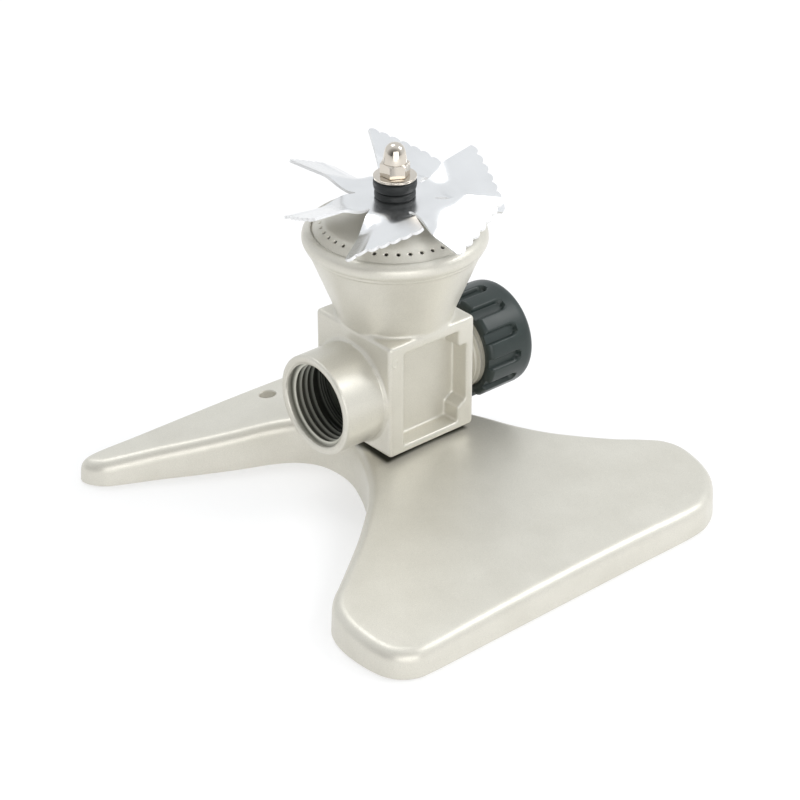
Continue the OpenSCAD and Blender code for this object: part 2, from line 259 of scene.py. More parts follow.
FUNNEL = [(0, 52), (17.0, 52), (17.2, 56.9), (17.75, 57.4), (26.75, 80.0), (27.25, 80.25), (27.45, 81.2),
          (27.7, 81.45), (28.1, 81.9), (RIM_R, 82.8), (RIM_R, 83.6), (28.15, 84.7), (27.5, 85.6),
          (26.6, 86.25), (25.9, RIM_TOP), (0, RIM_TOP)]
CAVITY = [(0, 57.6), (13.8, 57.6), (14.4, 58.4), (23.7, 79.0), (23.9, 81.5), (SEAT_R, 81.5),
          (SEAT_R, 95), (0, 95)]


def pocket_distance(x, z, depth):
    """Recess in the cube's front and rear faces: a tall rectangle that widens between corner blocks."""
    low, high = CUBE_Z[0] + 2.8, CUBE_Z[1] - 3.5
    draft = 0.04 * depth
    outline = rounded([(-11.5, low), (10.6, low), (10.6, low + 5.2), (13.9, low + 7.2),
                       (13.9, high - 5.3), (10.6, high - 5.3), (10.6, high), (-11.5, high)], 0.9, 3)
    return polygon_distance(outline, x, z) + draft


def body_field(p):
    """Signed distance to the body casting, in millimetres."""
    x, y, z = p[..., 0], p[..., 1], p[..., 2]
    from_port = np.hypot(y, z - PORT_Z)
    from_spindle = np.hypot(x, y)
    middle = (CUBE_Z[0] + CUBE_Z[1]) / 2
    field = box_distance(x, y, z - middle, (CUBE[0], CUBE[1], middle - CUBE_Z[0]), 1.3)
    funnel = np.full(x.shape, 30.0, np.float32)
    high = z > 50
    funnel[high] = polygon_distance(FUNNEL, from_spindle[high], z[high])
    field = smooth_min(field, funnel, 1.6)
    socket = bar_distance(from_port, x, INLET_R, INLET_X, -12, 0.7)
    foot = bar_distance(from_port, x, INLET_R + 0.55, -17.9, -12, 0.3)
    field = smooth_min(field, np.minimum(socket, foot), 0.9)
    neck = bar_distance(from_port, x, NECK_ROOT_R, 10, NECK_X, 0.5)
    collar = bar_distance(from_port, x, NECK_CREST_R, 12, 18.8, 0.4)
    field = smooth_min(field, smooth_min(neck, collar, 0.5), 0.9)
    depth = CUBE[1] - np.abs(y)
    floor = 6.2 - depth
    near = (np.abs(y) > 9) & (z < 58) & (np.abs(x) < 18)
    pocket = np.full(x.shape, 30.0, np.float32)
    pocket[near] = pocket_distance(x[near], z[near], depth[near])
    pocket = smooth_max(pocket, -floor, 0.7)
    field = smooth_max(field, -pocket, 0.7)
    holes = bar_distance(from_port, x, PASSAGE_R, -20, 60, 0.1)
    holes = np.minimum(holes, bar_distance(from_port, x, ROOT_R, INLET_X - 20, -14.2, 0.3))
    mouth = (from_port - ROOT_R - 0.25 - (INLET_X - x) * 0.9) * 0.74
    holes = np.minimum(holes, mouth)
    holes = np.minimum(holes, bar_distance(from_spindle, z, PASSAGE_R, PORT_Z, 58, 0.1))
    for side in (-1, 1):
        screw = np.hypot(x - side * SCREW_X, y)
        holes = np.minimum(holes, bar_distance(screw, z, 2.5, 0, 25, 0.2))
    cavity = np.full(x.shape, 30.0, np.float32)
    cavity[high] = polygon_distance(CAVITY, from_spindle[high], z[high])
    holes = np.minimum(holes, cavity)
    return smooth_max(field, -holes, 0.35)


def surface_net(field, low, high, step):
    """Vertices and quads where a field crosses zero, one vertex in each crossed cell."""
    axes = [np.arange(low[i] - step, high[i] + 2 * step, step, dtype=np.float32) for i in range(3)]
    grid = np.stack(np.meshgrid(*axes, indexing="ij"), -1)
    f = np.empty(grid.shape[:3], np.float32)
    for i in range(0, grid.shape[0], 16):
        f[i:i + 16] = field(grid[i:i + 16])
    inside = f < 0
    cells = tuple(n - 1 for n in f.shape)
    total = np.zeros(cells + (3,), np.float32)
    hits = np.zeros(cells, np.float32)
    crossings = []
    for axis in range(3):
        a = [slice(None)] * 3
        b = [slice(None)] * 3
        a[axis], b[axis] = slice(0, -1), slice(1, None)
        fa, fb = f[tuple(a)], f[tuple(b)]
        cross = inside[tuple(a)] != inside[tuple(b)]
        t = np.where(cross, fa / np.where(cross, fa - fb, 1), 0)
        point = (grid[tuple(a)] + (t * step)[..., None] * np.eye(3, dtype=np.float32)[axis])
        point *= cross[..., None]
        others = [k for k in range(3) if k != axis]
        for i in (0, 1):
            for j in (0, 1):
                s = [slice(None)] * 3
                s[others[0]] = slice(i, cells[others[0]] + i)
                s[others[1]] = slice(j, cells[others[1]] + j)
                total += point[tuple(s)]
                hits += cross[tuple(s)]
        crossings.append(cross)
    active = hits > 0
    index = np.full(cells, -1, np.int64)
    index[active] = np.arange(active.sum())
    verts = total[active] / hits[active][:, None]
    faces = []
    for axis in range(3):
        cross = crossings[axis].copy()
        others = [k for k in range(3) if k != axis]
        for k in others:
            edge = [slice(None)] * 3
            edge[k] = 0
            cross[tuple(edge)] = False
            edge[k] = -1
            cross[tuple(edge)] = False
        where = np.argwhere(cross)
        back = [np.zeros(3, int) for _ in range(2)]
        back[0][others[0]] = 1
        back[1][others[1]] = 1
        quad = [where, where - back[0], where - back[0] - back[1], where - back[1]]
        quad = np.stack([index[tuple(q.T)] for q in quad], 1)
        flip = inside[tuple(where.T)] == (axis != 1)
        quad[flip] = quad[flip][:, ::-1]
        faces.append(quad)
    faces = np.concatenate(faces)
    for _ in range(3):
        value = field(verts)
        slope = np.stack([(field(verts + d) - field(verts - d)) / 0.1 for d in np.eye(3) * 0.05], -1)
        norm = np.maximum((slope ** 2).sum(-1), 0.2)
        move = np.clip(value / norm, -step * 0.5, step * 0.5)
        verts = verts - (move[:, None] * slope).astype(np.float32)
    return verts, faces


# ---------------------------------------------------------------- materials


def node_material(name):
    """A new material with its node tree, its shader and its object coordinates."""
    material = bpy.data.materials.new(name)
    material.use_nodes = True
    tree = material.node_tree
    shader = tree.nodes["Principled BSDF"]
    coords = tree.nodes.new("ShaderNodeTexCoord")
    return material, tree, shader, coords


def noise(tree, coords, scale, detail=4, rough=0.55, stretch=None):
    """Object-space noise; scale is in waves per metre."""
    texture = tree.nodes.new("ShaderNodeTexNoise")
    texture.inputs["Scale"].default_value = scale
    texture.inputs["Detail"].default_value = detail
    texture.inputs["Roughness"].default_value = rough
    source = coords.outputs["Object"]
    if stretch:
        mapping = tree.nodes.new("ShaderNodeMapping")
        mapping.inputs["Scale"].default_value = stretch
        tree.links.new(source, mapping.inputs["Vector"])
        source = mapping.outputs["Vector"]
    tree.links.new(source, texture.inputs["Vector"])
    return texture.outputs["Fac"]


def ramp(tree, source, stops):
    """Colours or grey values spread over a value from 0 to 1; stops are (place, colour)."""
    node = tree.nodes.new("ShaderNodeValToRGB")
    elements = node.color_ramp.elements
    while len(elements) < len(stops):
        elements.new(0.5)
    for element, (place, value) in zip(elements, stops):
        element.position = place
        element.color = (*value, 1) if not np.isscalar(value) else (value, value, value, 1)
    tree.links.new(source, node.inputs["Fac"])
    return node.outputs["Color"]


def bump(tree, shader, layers):
    """Chained bumps: (height source, strength, distance in metres)."""
    last = None
    for height, strength, distance in layers:
        node = tree.nodes.new("ShaderNodeBump")
        node.inputs["Strength"].default_value = strength
        node.inputs["Distance"].default_value = distance
        tree.links.new(height, node.inputs["Height"])
        if last:
            tree.links.new(last, node.inputs["Normal"])
        last = node.outputs["Normal"]
    tree.links.new(last, shader.inputs["Normal"])


def calculate(tree, operation, first, second=None, vector=False):
    """A math node's output; its inputs are outputs of other nodes, or constants."""
    node = tree.nodes.new("ShaderNodeVectorMath" if vector else "ShaderNodeMath")
    node.operation = operation
    for socket, value in zip(node.inputs, (first, second)):
        if isinstance(value, bpy.types.NodeSocket):
            tree.links.new(value, socket)
        elif value is not None:
            socket.default_value = value
    flat = not vector or operation in ("LENGTH", "DOT_PRODUCT")
    return node.outputs["Value" if flat else "Vector"]


def between(tree, value, start, end, kind="LINEAR"):
    """0 to 1 as a length goes from start to end, in millimetres."""
    node = tree.nodes.new("ShaderNodeMapRange")
    node.interpolation_type = kind
    node.inputs["From Min"].default_value = start * MM
    node.inputs["From Max"].default_value = end * MM
    tree.links.new(value, node.inputs["Value"])
    return node.outputs["Result"]


def mixed(tree, factor, first, second, blend="MIX"):
    """A mix of two colours; second may be a constant, and so may the factor."""
    node = tree.nodes.new("ShaderNodeMix")
    node.data_type = "RGBA"
    node.blend_type = blend
    for name, value in (("Factor", factor), ("A", first), ("B", second)):
        if isinstance(value, bpy.types.NodeSocket):
            tree.links.new(value, node.inputs[name])
        else:
            node.inputs[name].default_value = value
    return node.outputs["Result"]


def split_axes(tree, vector):
    """The X, Y and Z outputs of a vector."""
    node = tree.nodes.new("ShaderNodeSeparateXYZ")
    tree.links.new(vector, node.inputs["Vector"])
    return node.outputs


def socket_shade_masks(tree, coords):
    """Masks for painted shade in the hose socket: 1 inside it, the depth from the mouth, and 1 down in the
    thread's grooves.
    """
    mouth = (INLET_X * MM, 0, PORT_Z * MM)
    place = calculate(tree, "SUBTRACT", coords.outputs["Object"], mouth, vector=True)
    flat = calculate(tree, "MULTIPLY", place, (0, 1, 1), vector=True)
    reach = calculate(tree, "LENGTH", flat, vector=True)
    x = split_axes(tree, place)["X"]
    inside = between(tree, reach, ROOT_R + 0.5, ROOT_R + 0.3)
    for start, end in ((0.8, 2.0), (19.5, 18.5)):
        inside = calculate(tree, "MULTIPLY", inside, between(tree, x, start, end))
    return inside, between(tree, x, 0, 15), between(tree, reach, CREST_R + 0.3, CREST_R + 1.0)


def painted_gap_shade_mask(tree, coords):
    """A mask for painted shade: 1 in the gap between the cube and the base, where light doesn't reach, 0 in
    the open.
    """
    axes = split_axes(tree, coords.outputs["Object"])
    mask = between(tree, axes["Z"], 14.8, 16.2)
    for axis, centre, start, end in (("X", -0.5, CUBE[0] + 0.3, CUBE[0] - 1.6),
                                     ("Y", 0, CUBE[1] - 0.7, CUBE[1] - 2.6)):
        shift = calculate(tree, "SUBTRACT", axes[axis], centre * MM)
        size = calculate(tree, "ABSOLUTE", shift)
        mask = calculate(tree, "MULTIPLY", mask, between(tree, size, start, end, "SMOOTHSTEP"))
    return mask


PAINT_LOW, PAINT_HIGH = (0.655, 0.634, 0.562), (0.695, 0.674, 0.602)


def satin_paint(name, bore=False, gap_shade=False):
    """Champagne metallic paint over a cast skin: fine flake, faint mottling, soft gloss; optionally with
    painted shade down the hose socket and in the gap under the cube.
    """
    material, tree, shader, coords = node_material(name)
    mottle = noise(tree, coords, 60, 3)
    flake = noise(tree, coords, 5200, 2)
    cast = noise(tree, coords, 700, 3)
    colour = ramp(tree, mottle, [(0.35, PAINT_LOW), (0.65, PAINT_HIGH)])
    if bore:
        # Painted shade: the socket's colour falls towards black from the mouth inwards, and the thread roots
        # are painted darker than the crests.
        inside, depth, groove = socket_shade_masks(tree, coords)
        crest_shade = ramp(tree, depth, [(0.0, (0.72, 0.71, 0.62)), (0.3, (0.56, 0.56, 0.49)),
                                    (0.6, (0.30, 0.31, 0.27)), (1.0, (0.13, 0.14, 0.12))])
        root_shade = ramp(tree, depth, [(0.0, (0.20, 0.20, 0.165)), (0.4, (0.10, 0.10, 0.08)),
                                   (0.8, (0.03, 0.032, 0.026)), (1.0, (0.015, 0.017, 0.013))])
        colour = mixed(tree, inside, colour, mixed(tree, groove, crest_shade, root_shade))
    if gap_shade:
        # Painted shade: near-black paint on the base in the gap under the cube and just beside its foot,
        # where light doesn't reach.
        colour = mixed(tree, painted_gap_shade_mask(tree, coords), colour, (0.07, 0.068, 0.052, 1))
    sparkle = ramp(tree, flake, [(0.3, 0.90), (0.7, 1.08)])
    tree.links.new(mixed(tree, 1, colour, sparkle, "MULTIPLY"), shader.inputs["Base Color"])
    tree.links.new(ramp(tree, cast, [(0.3, 0.38), (0.7, 0.46)]), shader.inputs["Roughness"])
    shader.inputs["Metallic"].default_value = 0.5
    shader.inputs["Coat Weight"].default_value = 0.2
    shader.inputs["Coat Roughness"].default_value = 0.2
    bump(tree, shader, [(cast, 0.10, 0.00012), (flake, 0.12, 0.00003)])
    return material


def bright_metal(name, colour, rough, streak, wave=(900, 0.08, 0.00004), cut_edge=False):
    """Bare or plated metal with a rolled or turned grain; streak stretches the grain, wave dents it.
    A cut edge is matt where the sheet was sheared."""
    material, tree, shader, coords = node_material(name)
    grain = noise(tree, coords, 900, 4, 0.6, streak)
    smear = noise(tree, coords, 90, 3)
    scale, strength, height = wave
    dents = noise(tree, coords, scale, 2)
    low = tuple(c * 0.93 for c in colour)
    tree.links.new(ramp(tree, smear, [(0.3, low), (0.7, colour)]), shader.inputs["Base Color"])
    tree.links.new(ramp(tree, grain, [(0.25, rough * 0.93), (0.75, rough * 1.08)]),
                   shader.inputs["Roughness"])
    shader.inputs["Metallic"].default_value = 1.0
    if cut_edge:
        facing = tree.nodes.new("ShaderNodeNewGeometry").outputs["True Normal"]
        level = calculate(tree, "ABSOLUTE", split_axes(tree, facing)["Z"])
        tree.links.new(ramp(tree, level, [(0.4, 0.2), (0.6, 1.0)]), shader.inputs["Metallic"])
    bump(tree, shader, [(dents, strength, height)])
    return material


def moulded(name, colour, rough, grain_scale=1500, grain=0.12, coat=0.0):
    """Moulded plastic or rubber: fine grain and slightly uneven gloss."""
    material, tree, shader, coords = node_material(name)
    fine = noise(tree, coords, grain_scale, 3)
    broad = noise(tree, coords, 120, 3)
    high = tuple(c * 1.35 + 0.004 for c in colour)
    tree.links.new(ramp(tree, broad, [(0.3, colour), (0.75, high)]), shader.inputs["Base Color"])
    tree.links.new(ramp(tree, broad, [(0.3, rough * 0.85), (0.7, rough * 1.2)]),
                   shader.inputs["Roughness"])
    shader.inputs["Specular IOR Level"].default_value = 0.42
    shader.inputs["Coat Weight"].default_value = coat
    shader.inputs["Coat Roughness"].default_value = 0.25
    bump(tree, shader, [(fine, grain, 0.00006)])
    return material


PAINT = satin_paint("satin_paint")
# The body's paint carries painted shade down the hose socket.
BODY_PAINT_SOCKET_SHADE = satin_paint("satin_paint_body_socket_shade", bore=True)
# The base's paint carries painted shade in the gap under the cube.
BASE_PAINT_GAP_SHADE = satin_paint("satin_paint_base_gap_shade", gap_shade=True)
SHEET = bright_metal("bright_aluminium", (0.87, 0.875, 0.88), 0.24, (1, 1, 0.2), (55, 0.10, 0.0003), True)
NICKEL = bright_metal("nickel", (0.70, 0.645, 0.57), 0.13, (1, 1, 6))
STEEL = bright_metal("plated_steel", (0.70, 0.70, 0.71), 0.30, (1, 1, 6))
BRASS = bright_metal("brass", (0.78, 0.58, 0.26), 0.28, (1, 1, 6))
CAP_BLACK = moulded("cap_black", (0.017, 0.026, 0.024), 0.36, 1500, 0.12, 0.03)
HUB_BLACK = moulded("hub_black", (0.014, 0.016, 0.016), 0.42, 420, 0.9)
RUBBER = moulded("black_rubber", (0.018, 0.018, 0.018), 0.6, 1400, 0.2)
SEAL_RUBBER = moulded("hose_rubber", (0.060, 0.066, 0.052), 0.42, 1400, 0.2)
GREY_RUBBER = moulded("grey_rubber", (0.16, 0.16, 0.16), 0.65, 1400, 0.2)

# ---------------------------------------------------------------- base casting

CROWN = 18.2           # height of the base's middle
BASE_FRONT = 89.65     # reach of its front edge


def crown(x, y):
    """Height of the base's top surface: level towards the front edge, falling along the tails."""
    t = np.clip((y + 60) / 65, 0, 1)
    t = t * t * (3 - 2 * t)
    gx = 0.080 + (0.115 - 0.080) * t
    gy = 0.100 + (0.115 - 0.100) * t
    soft = 0.8
    return CROWN + soft - np.sqrt(soft ** 2 + (gx * x) ** 2 + (gy * y) ** 2)


def half_plan(side):
    """One half of the plan, as the CAD has it: front edge, lobe, waist, tail, rear edge."""
    f, l, r, t, b = BASE_FRONT, 76.1, 68.2, 80.5, 61.0
    if side < 0:
        wing = [(38, -f), (l - 14, -f), (l - 7.7, -f + 1), (l - 3.4, -f + 4.2), (l - 1, -f + 9),
                (l, -f + 17), (l - 0.5, -f + 25), (l - 2.8, -f + 31.8), (l - 6.8, -f + 36.6),
                (63.9, -f + 40.4), (54.9, -f + 46.8), (45.6, -f + 53.7), (36, -f + 61.8),
                (28.8, -f + 69), (24.2, -14.4), (19.8, -6), (17, 1.5), (16.2, 9), (17.4, 16.6)]
    else:
        wing = [(20, -f), (44, -f), (r - 15.4, -f + 2.4), (r - 9, -f + 6.9), (r - 3.8, -f + 12.9),
                (r - 1, -f + 20), (r, -f + 28.5), (r - 2.6, -f + 35.2), (60, -f + 40.2),
                (53, -f + 45.2), (45.5, -f + 52), (38.2, -f + 59.6), (32.3, -f + 68),
                (27.5, -12.4), (22.5, -3.5), (18.8, 5), (17.6, 13), (18.2, 18)]
    tail = [(21.5, 22.6), (28, 27.1), (38.4, 31.7), (50, 37.4), (61.3, 43.4), (70, 47.6),
            (t - 3.6, b - 9.6), (t, b - 4.2), (t - 1, b - 0.4), (t - 7, b + 1), (58, 59.8),
            (43, 58), (28, 56.4), (12, 55)]
    return wing + tail


def base_outline(spacing):
    """The plan as a smooth closed line of evenly spaced points, counter-clockwise."""
    left = [(-x, y) for x, y in reversed(half_plan(-1))]
    points = np.array([(0, -BASE_FRONT)] + half_plan(1) + [(0, 54.3)] + left)
    dense = []
    count = len(points)
    for i in range(count):
        near = [points[(i + k) % count] for k in (-1, 0, 1, 2)]
        dense += [spline_point(*near, t) for t in np.linspace(0, 1, 24, endpoint=False)]
    dense = np.array(dense + [dense[0]])
    run = np.concatenate([[0], np.cumsum(np.linalg.norm(np.diff(dense, axis=0), axis=1))])
    places = np.linspace(0, run[-1], int(run[-1] / spacing), endpoint=False)
    return np.stack([np.interp(places, run, dense[:, k]) for k in (0, 1)], 1)


def outward(loop):
    """Unit normals of a counter-clockwise loop."""
    tangent = np.roll(loop, -2, 0) - np.roll(loop, 2, 0)
    normal = np.stack([tangent[:, 1], -tangent[:, 0]], 1)
    return normal / np.linalg.norm(normal, axis=1)[:, None]


def inside_loop(loop, points):
    """Which points lie inside a closed loop."""
    inside = np.zeros(len(points), bool)
    for a, b in zip(loop, np.roll(loop, -1, 0)):
        crosses = (a[1] > points[:, 1]) != (b[1] > points[:, 1])
        if crosses.any():
            x = (b[0] - a[0]) * (points[:, 1] - a[1]) / (b[1] - a[1]) + a[0]
            inside ^= crosses & (points[:, 0] < x)
    return inside


def near_loop(loop, points, gap):
    """Which points lie closer than a gap to the loop's own points."""
    best = np.full(len(points), 1e9)
    for p in loop:
        best = np.minimum(best, ((points - p) ** 2).sum(1))
    return best < gap * gap


def filled(loop, holes, spacing):
    """Triangles that fill a loop and leave its holes open. The loop points come first, in order."""
    low, high = loop.min(0), loop.max(0)
    rows = []
    for n, y in enumerate(np.arange(low[1], high[1], spacing * 0.87)):
        for x in np.arange(low[0] + (n % 2) * spacing / 2, high[0], spacing):
            rows.append((x, y))
    rows = np.array(rows)
    keep = inside_loop(loop, rows) & ~near_loop(loop, rows, spacing * 0.6)
    for hole in holes:
        keep &= ~inside_loop(hole, rows) & ~near_loop(hole, rows, spacing * 0.6)
    points = [loop] + holes + [rows[keep]]
    edges, start = [], 0
    for ring in [loop] + holes:
        edges += [(start + i, start + (i + 1) % len(ring)) for i in range(len(ring))]
        start += len(ring)
    points = np.concatenate(points)
    result = geometry.delaunay_2d_cdt([Vector(p) for p in points], edges, [], 0, 1e-6)
    found = np.array([tuple(v) for v in result[0]])
    order = [old[0] if old else ((points - place) ** 2).sum(1).argmin()
             for place, old in zip(found, result[3])]
    triangles = np.array(order)[np.array(result[2])]
    triangles = triangles[[len(set(t)) == 3 for t in triangles]]
    centres = points[triangles].mean(1)
    keep = inside_loop(loop, centres)
    for hole in holes:
        keep &= ~inside_loop(hole, centres)
    return points, triangles[keep]


def ring_faces(a, b, count):
    """Quads between two rings of points that start at a and at b."""
    return [(a + i, a + (i + 1) % count, b + (i + 1) % count, b + i) for i in range(count)]


def circle(centre, radius, count):
    angles = np.linspace(0, TAU, count, endpoint=False)
    return np.array(centre) + radius * np.stack([np.cos(angles), np.sin(angles)], 1)


PEG_HOLE = (-15.5, 46.0)
PEG_R = 2.7


def base_shell():
    """The cast shell: wall, rounded top edge, crowned skin, hollow underside and the peg hole."""
    loop = base_outline(1.5)
    normal = outward(loop)
    count = len(loop)
    fillet, skin, wall = 4.0, 3.0, 2.8
    top_at = lambda inset: crown(*(loop - normal * inset).T)
    edge = top_at(fillet)
    verts, starts = [], []

    def ring(inset, z):
        starts.append(len(verts))
        xy = loop - normal * np.reshape(inset, (-1, 1))
        verts.extend(np.column_stack([xy, np.broadcast_to(z, count)]))

    inner = edge - skin - 0.5
    ring(wall + 0.6, inner - 1.6)
    ring(wall + 0.15, inner - 3.2)
    ring(wall, 0.35)
    ring(wall - 0.35, 0)
    ring(0.45, 0)
    ring(0.05, 0.45)
    ring(0.30, edge - fillet)
    for step in range(1, 8):
        angle = math.radians(90 * step / 8)
        ring(0.30 + (fillet - 0.30) * (1 - math.cos(angle)), edge - fillet * (1 - math.sin(angle)))
    faces = []
    for a, b in zip(starts, starts[1:]):
        faces += ring_faces(a, b, count)
    segments = 32
    top_hole, low_hole = circle(PEG_HOLE, PEG_R + 0.3, segments), circle(PEG_HOLE, PEG_R, segments)
    top_loop = loop - normal * fillet
    points, triangles = filled(top_loop, [top_hole], 2.6)
    top_start = len(verts)
    verts.extend(np.column_stack([points, crown(*points.T)]))
    faces += [tuple(top_start + i for i in t) for t in triangles]
    faces += ring_faces(starts[-1], top_start, count)
    hole_top = top_start + count
    bevel = len(verts)
    verts.extend(np.column_stack([low_hole, crown(*low_hole.T) - 0.35]))
    faces += ring_faces(hole_top, bevel, segments)
    low_loop = loop - normal * (wall + 1.4)
    points, triangles = filled(low_loop, [low_hole], 5.0)
    low_start = len(verts)
    verts.extend(np.column_stack([points, crown(*points.T) - skin]))
    faces += [tuple(low_start + i for i in t[::-1]) for t in triangles]
    faces += ring_faces(low_start, starts[0], count)
    faces += ring_faces(bevel, low_start + count, segments)
    return verts, faces


def rib(x0, y0, x1, y1, width, foot, steps=14):
    """A cast rib that hangs from the skin, with drafted sides; foot is its lowest height."""
    a, b = np.array((x0, y0), float), np.array((x1, y1), float)
    along = (b - a) / np.linalg.norm(b - a)
    side = np.array((-along[1], along[0]))
    verts, faces = [], []
    for k in range(steps + 1):
        p = a + (b - a) * k / steps
        roof = float(crown(p[0], p[1])) - 2.2
        for half, z in ((0.5, roof), (0.5, roof - 2), (0.36, foot + 0.3), (0.28, foot)):
            verts.append((*(p - side * width * half), z))
        for half, z in ((0.28, foot), (0.36, foot + 0.3), (0.5, roof - 2), (0.5, roof)):
            verts.append((*(p + side * width * half), z))
    size = 8
    for k in range(steps):
        for m in range(size):
            n = (m + 1) % size
            faces.append((k * size + m, k * size + n, (k + 1) * size + n, (k + 1) * size + m))
    faces.append(tuple(range(size)))
    faces.append(tuple(steps * size + m for m in range(size)))
    return verts, faces


def build_base():
    parts = [base_shell()]
    rib_w, foot = 2.0, 2.0
    parts.append(rib(0, -5, 0, BASE_LOW[1] + 4, rib_w, foot))
    parts.append(rib(0, 5, 0, 50, rib_w, foot))
    for side in (-1, 1):
        parts.append(rib(side * 11, 23, side * 66, 52.5, rib_w, foot))
        parts.append(rib(side * 12, -11, side * 61.9, -59.7, rib_w, foot))
    parts.append(rib(-62, -52, 52, -52, rib_w, foot + 0.2))
    post = [(0, 0), (3.4, 0), (4.0, 0.6), (4.2, CROWN - 2), (0, CROWN - 2)]
    parts.append(lathe(post, 48, closed=False))
    seat = [(2.75, CROWN - 1), (2.75, 8.0), (4.9, 8.0), (4.9, 0.6), (5.3, 0), (5.9, 0), (6.2, 0.5),
            (6.5, CROWN - 1)]
    for side in (-1, 1):
        parts.append(lathe(seat, 64, centre=(side * SCREW_X, 0, 0)))
    pad = [(0, CROWN - 2), (15.2, CROWN - 2), (15.0, BASE_HIGH[2] - 0.3), (14.7, BASE_HIGH[2]),
           (0, BASE_HIGH[2])]
    parts.append(lathe(pad, 96, closed=False))
    return make("base_shell", *join_meshes(parts), "sprinkler", BASE_PAINT_GAP_SHADE, "base_casting", "satin_paint")


# ---------------------------------------------------------------- body, threads and spray plate


def build_body():
    """The casting, its two threads, the fine rings at the bottom of the socket and a small cast mark."""
    step = 0.5
    cast = surface_net(body_field, BODY_LOW, BODY_HIGH, step)
    inlet = helix_ridge(CREST_R, ROOT_R + 0.15, INLET_X + 0.72, 4.9, False)
    first, last, ring_pitch = -20.6, -15.8, 0.95
    rings = [(ROOT_R + 0.2, first)]
    for k in range(5):
        x = first + ring_pitch * k
        rings += [(ROOT_R - 0.15, x + 0.1), (CREST_R + 0.25, x + 0.42), (CREST_R + 0.25, x + 0.58),
                  (ROOT_R - 0.15, x + 0.9)]
    rings.append((ROOT_R + 0.2, last))
    make("socket_rings", *lathe(rings, 96, "x", (0, 0, PORT_Z)), "sprinkler", BODY_PAINT_SOCKET_SHADE,
         slot="satin_paint", sharp=50)
    outlet = helix_ridge(NECK_ROOT_R - 0.15, NECK_CREST_R, 20.6, 7.8, True)
    body = make("body_cast", *cast, "sprinkler", BODY_PAINT_SOCKET_SHADE, "body_casting", "satin_paint", sharp=60)
    mark = lathe(rounded([(0.75, -0.3), (0.95, 0.12), (1.35, 0.12), (1.55, -0.3)], 0.12, 2), 32)
    mark = ([(x - 15.0, -CUBE[1] - z, 51.2 + y) for x, y, z in mark[0]], mark[1])
    make("casting_mark", *mark, "sprinkler", PAINT, slot="satin_paint", sharp=50)
    make("inlet_thread", *inlet, "sprinkler", BODY_PAINT_SOCKET_SHADE, slot="satin_paint", sharp=50)
    make("outlet_thread", *outlet, "sprinkler", PAINT, slot="satin_paint", sharp=50)


def build_inlet_washer():
    """Ribbed rubber washer at the bottom of the socket."""
    low, high = node_box("inlet_washer")
    outer, x0, x1 = high[1] - 0.05, low[0], high[0]
    face = [(PASSAGE_R - 0.2, x0 + 0.4), (PASSAGE_R + 0.1, x0 + 0.1)]
    for k in range(6):
        r = PASSAGE_R + 0.2 + 0.6 * k
        face += [(r, x0 + 0.1), (r + 0.18, x0 + 0.6), (r + 0.36, x0 + 0.6), (r + 0.5, x0 + 0.1)]
    face += [(outer - 0.3, x0 + 0.1), (outer, x0 + 0.4), (outer, x1 - 0.3), (outer - 0.3, x1),
             (PASSAGE_R - 0.2, x1)]
    washer = lathe(face, 96, "x", (0, 0, PORT_Z))
    make("hose_washer", *washer, "sprinkler", SEAL_RUBBER, "inlet_washer", "black_rubber")


JETS = 40
JET_RING = 22.6        # radius of the ring of jets
JET_R = 0.6
JET_PHASE = -2.1       # heading of the first jet, in degrees
DOME_EDGE = 85.8       # height of the dome's lower edge
JET_RISE = 1.93        # height of the jets over that edge


def build_spray_plate():
    """A domed, perforated plate with a skirt; the jets are cut through it."""
    top, edge, skirt = PLATE_HIGH[2], DOME_EDGE, PLATE_LOW[2]
    r = 25.4
    upper = curve_through([(8, top), (14.3, top - 1.6), (20.4, edge + 3.45), (JET_RING, edge + JET_RISE),
                           (r - 0.5, edge + 0.35)])
    lower = [(x - 0.55, z - 1.15) for x, z in reversed(upper[1:])]
    profile = [(2.6, top)] + upper + [(r - 0.1, edge + 0.05), (r, edge - 0.3), (r, skirt)]
    profile += [(r - 1.2, skirt)] + [(r - 1.2, edge - 1.2)] + lower[1:] + [(8, top - 1.2), (2.6, top - 1.2)]
    plate = make("spray_dome", *lathe(profile, 200), "sprinkler", PAINT, "spray_plate", "satin_paint", 50)
    cutters = []
    slope = math.atan2(JET_RISE, 2.8)
    for k in range(JETS):
        angle = math.radians(JET_PHASE) + TAU * k / JETS
        out = np.array((math.cos(angle), math.sin(angle), 0))
        axis = out * math.sin(slope) + np.array((0, 0, math.cos(slope)))
        side = np.array((-math.sin(angle), math.cos(angle), 0))
        other = np.cross(axis, side)
        centre = out * JET_RING + np.array((0, 0, edge + JET_RISE))
        verts = []
        for end in (-2.2, 1.5):
            for m in range(16):
                a = TAU * m / 16
                verts.append(centre + axis * end + JET_R * (side * math.cos(a) + other * math.sin(a)))
        faces = ring_faces(0, 16, 16) + [tuple(range(15, -1, -1)), tuple(range(16, 32))]
        cutters.append((verts, faces))
    cutter = make("jet_cutter", *join_meshes(cutters), "sprinkler", PAINT)
    cut = plate.modifiers.new("jets", "BOOLEAN")
    cut.operation = "DIFFERENCE"
    cut.solver = "EXACT"
    cut.object = cutter
    apply_modifiers(plate)
    bpy.data.objects.remove(cutter)
    return plate


def apply_modifiers(obj):
    """Freezes an object's modifiers into its mesh."""
    bpy.context.view_layer.update()
    mesh = bpy.data.meshes.new_from_object(obj.evaluated_get(bpy.context.evaluated_depsgraph_get()))
    old = obj.data
    obj.modifiers.clear()
    obj.data = mesh
    bpy.data.meshes.remove(old)


# ---------------------------------------------------------------- turbine, hub and nut

